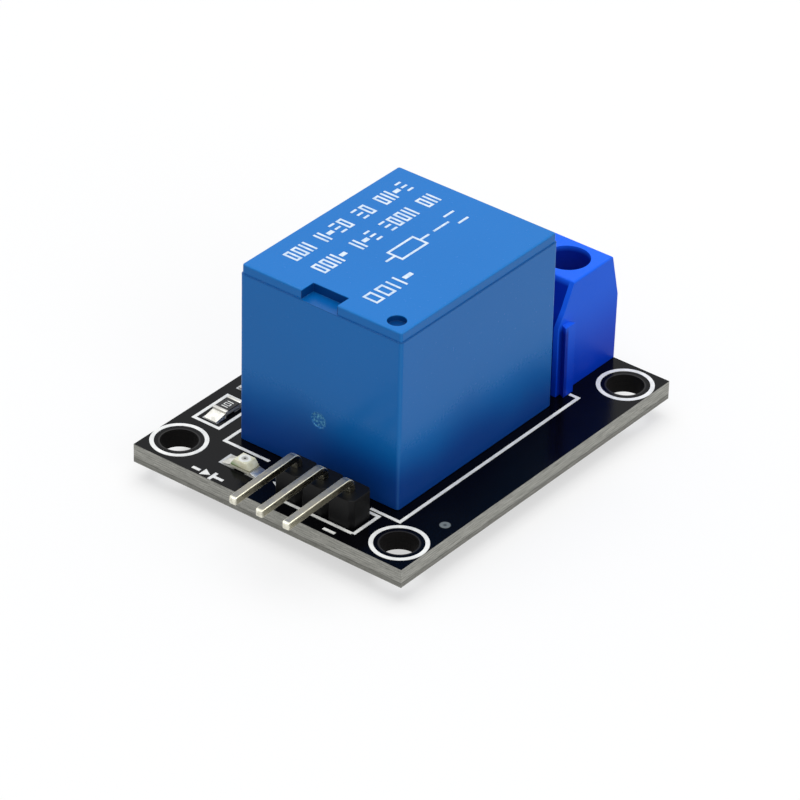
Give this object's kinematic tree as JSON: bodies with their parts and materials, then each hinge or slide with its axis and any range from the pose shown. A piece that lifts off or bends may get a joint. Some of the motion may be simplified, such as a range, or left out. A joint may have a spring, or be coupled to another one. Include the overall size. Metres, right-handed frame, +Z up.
{
  "type": "relay module board",
  "caption": "Small circuit board with a sealed blue relay, a three-pole screw terminal, a bent pin header and chip parts.",
  "frame": {"origin": "centre of the four mounting holes on the board's underside", "axes": "+X towards the screw terminal, +Y towards the strip of chip parts, +Z up off the board"},
  "size_m": [0.0383, 0.026, 0.0187],
  "materials": {
    "solder_mask": "black mask over laminate, sawn edges bare",
    "white_ink": "screen printed",
    "tinned_copper": "tinned",
    "solder": "bright solder",
    "header_plastic": "moulded, black",
    "header_pin_metal": "tin plated brass",
    "terminal_plastic": "moulded, bright blue",
    "plated_steel": "zinc plated",
    "pin_brass": "tin plated brass",
    "case_plastic": "moulded, blue",
    "base_plastic": "moulded, dark blue",
    "soft_iron": "plated iron",
    "bobbin_plastic": "moulded, natural",
    "enamelled_copper": "enamelled copper wire, wound",
    "spring_bronze": "phosphor bronze leaf",
    "contact_silver": "silver alloy",
    "lens_resin": "clear cast resin",
    "carrier_laminate": "white laminate",
    "chip_coat": "black glaze on ceramic",
    "moulding_black": "black epoxy"
  },
  "bodies": {
    "board": {"circuit_board": "solder_mask", "board_print": "white_ink", "case_print": "white_ink", "pin_lands": "tinned_copper", "solder_joints": "solder", "chip_lands": "tinned_copper", "chip_solder": "solder", "header_body": "header_plastic", "header_pin_1": "header_pin_metal", "header_pin_2": "header_pin_metal", "header_pin_3": "header_pin_metal", "terminal_housing": "terminal_plastic", "relay_cover": "case_plastic", "relay_base": "base_plastic", "yoke": "soft_iron", "iron_core": "soft_iron", "coil_bobbin": "bobbin_plastic", "coil_winding": "enamelled_copper", "coil_pin_1": "pin_brass", "coil_pin_2": "pin_brass", "common_pin": "pin_brass", "open_contact_blade": "pin_brass", "open_contact_button": "contact_silver", "closed_contact_blade": "pin_brass", "closed_contact_button": "contact_silver", "led_carrier": "carrier_laminate", "led_end_caps": "tinned_copper", "led_lens": "lens_resin", "led_resistor": "chip_coat", "led_resistor_caps": "tinned_copper", "base_resistor": "chip_coat", "base_resistor_caps": "tinned_copper", "transistor_case": "moulding_black", "transistor_legs": "tinned_copper", "diode_case": "moulding_black", "diode_legs": "tinned_copper", "terminal_pin_1": "pin_brass", "terminal_pin_2": "pin_brass", "terminal_pin_3": "pin_brass"},
    "armature_plate": {"armature": "soft_iron", "contact_spring": "spring_bronze", "moving_contact": "contact_silver"},
    "screw_1": {"clamp_screw_1": "plated_steel"},
    "cage_1": {"clamp_cage_1": "plated_steel"},
    "screw_2": {"clamp_screw_2": "plated_steel"},
    "cage_2": {"clamp_cage_2": "plated_steel"},
    "screw_3": {"clamp_screw_3": "plated_steel"},
    "cage_3": {"clamp_cage_3": "plated_steel"}
  },
  "joints": [
    {"name": "armature_pull_in", "type": "hinge", "parent": "board", "child": "armature_plate", "pos_m": [-0.00715, -0.00035, 0.0134], "axis": [0, 1, 0], "range_deg": [0, 3.5], "stiffness_Nm_per_rad": 0.02, "springref_deg": -2.86, "deforming": ["contact_spring"]},
    {"name": "screw_turn_1", "type": "hinge", "parent": "board", "child": "screw_1", "pos_m": [0.01356, 0.00508, 0.00885], "axis": [0, 0, -1], "range_deg": [0, 1080]},
    {"name": "cage_lift_1", "type": "slide", "parent": "board", "child": "cage_1", "axis": [0, 0, 1], "range_m": [0, 0.00135]},
    {"name": "screw_turn_2", "type": "hinge", "parent": "board", "child": "screw_2", "pos_m": [0.01356, 0, 0.00885], "axis": [0, 0, -1], "range_deg": [0, 1080]},
    {"name": "cage_lift_2", "type": "slide", "parent": "board", "child": "cage_2", "axis": [0, 0, 1], "range_m": [0, 0.00135]},
    {"name": "screw_turn_3", "type": "hinge", "parent": "board", "child": "screw_3", "pos_m": [0.01356, -0.00508, 0.00885], "axis": [0, 0, -1], "range_deg": [0, 1080]},
    {"name": "cage_lift_3", "type": "slide", "parent": "board", "child": "cage_3", "axis": [0, 0, 1], "range_m": [0, 0.00135]}
  ],
  "couplings": [
    {"joint": "screw_turn_1", "follows": "cage_lift_1", "rad_per_m": 13963},
    {"joint": "screw_turn_2", "follows": "cage_lift_2", "rad_per_m": 13963},
    {"joint": "screw_turn_3", "follows": "cage_lift_3", "rad_per_m": 13963}
  ]
}
